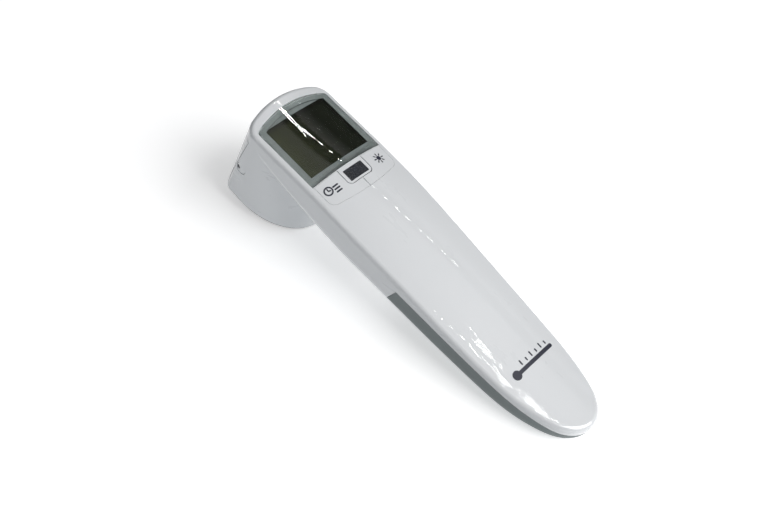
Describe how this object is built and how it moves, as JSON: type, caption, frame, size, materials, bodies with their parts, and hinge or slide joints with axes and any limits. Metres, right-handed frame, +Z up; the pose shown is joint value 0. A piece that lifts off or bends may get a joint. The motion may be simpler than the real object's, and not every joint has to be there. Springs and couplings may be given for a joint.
{
  "type": "non-contact forehead thermometer",
  "caption": "Hammer-shaped non-contact forehead thermometer: gloss shell, crowned display window, two top keys, scan button under the neck, infrared sensor nose and slide-off battery cover.",
  "frame": {"origin": "middle of the bounding box, on the plane that the thermometer rests on", "axes": "+Y from the handle tip to the head, +Z up, +X to the right of someone reading the display"},
  "size_m": [0.0372, 0.1618, 0.047],
  "materials": {
    "white_shell": "high-gloss cool white ABS",
    "grey_cover": "satin grey ABS",
    "grey_button": "satin grey, finely textured",
    "clear_window": "clear polished acrylic",
    "mask_print": "grey print on film",
    "lcd_glass": "dark olive display glass",
    "smoke_lens": "smoked translucent lens",
    "milky_acrylic": "milky light guide",
    "led_resin": "moulded light-emitting diodes",
    "black_frame": "fine-grained black",
    "nose_trim": "fine-grained dark grey",
    "contact_rubber": "striped conductive rubber",
    "circuit_board": "green solder resist",
    "chip_resin": "black moulding compound",
    "switch_stem": "moulded red nylon",
    "tinned_can": "tin-plated",
    "gold_pins": "gold-plated",
    "sensor_film": "infrared-clear window, dark to the eye",
    "sensor_filter_glass": "coated silicon filter",
    "cup_metal": "polished, chrome-plated",
    "ribbon_film": "amber polyimide",
    "cell_jacket": "printed foil jacket",
    "contact_metal": "nickel-plated",
    "lead_sheath": "soft wire sheath",
    "screw_steel": "zinc-plated"
  },
  "bodies": {
    "root": {"front_housing": "white_shell", "rear_housing": "white_shell", "nose_panel": "white_shell", "guide_bezels": "white_shell", "display_window": "clear_window", "window_mask": "mask_print", "lcd_border": "mask_print", "lcd_panel": "lcd_glass", "indicator_lens": "smoke_lens", "guide_lenses": "smoke_lens", "backlight_panel": "milky_acrylic", "indicator_light_guide": "milky_acrylic", "backlight_led": "led_resin", "indicator_leds": "led_resin", "guide_leds": "led_resin", "lcd_frame": "black_frame", "battery_tray": "black_frame", "sensor_holder": "black_frame", "buzzer": "black_frame", "sensor_connector": "black_frame", "nose_bezel": "nose_trim", "contact_strip": "contact_rubber", "main_board": "circuit_board", "sensor_board": "circuit_board", "controller_chip": "chip_resin", "memory_chip": "chip_resin", "amplifier_chip": "chip_resin", "scan_switch": "chip_resin", "mode_switch": "chip_resin", "light_switch": "chip_resin", "clock_crystal": "tinned_can", "thermopile_sensor": "tinned_can", "sensor_pins": "gold_pins", "sensor_window": "sensor_film", "sensor_filter": "sensor_filter_glass", "sensor_cup": "cup_metal", "sensor_ribbon": "ribbon_film", "battery_cells": "cell_jacket", "front_contacts": "contact_metal", "rear_contact": "contact_metal", "contact_springs": "contact_metal", "battery_leads": "lead_sheath", "neck_screws": "screw_steel", "board_screws": "screw_steel", "tray_screws": "screw_steel", "sensor_screws": "screw_steel"},
    "mode_key": {"mode_key": "white_shell", "mode_switch_stem": "switch_stem"},
    "light_key": {"light_key": "white_shell", "light_switch_stem": "switch_stem"},
    "scan_button": {"scan_button": "grey_button", "scan_switch_stem": "switch_stem"},
    "battery_cover": {"battery_cover": "grey_cover"}
  },
  "joints": [
    {"name": "mode_key_press", "type": "slide", "parent": "root", "child": "mode_key", "axis": [0, 0.2079, -0.9781], "range_m": [0, 0.0004], "stiffness_N_per_m": 3000},
    {"name": "light_key_press", "type": "slide", "parent": "root", "child": "light_key", "axis": [0, 0.2079, -0.9781], "range_m": [0, 0.0004], "stiffness_N_per_m": 3000},
    {"name": "scan_button_press", "type": "slide", "parent": "root", "child": "scan_button", "axis": [0, -0.2079, 0.9781], "range_m": [0, 0.0004], "stiffness_N_per_m": 3000},
    {"name": "battery_cover_slide", "type": "slide", "parent": "root", "child": "battery_cover", "axis": [0, -0.9722, -0.2342], "range_m": [0, 0.08]}
  ]
}
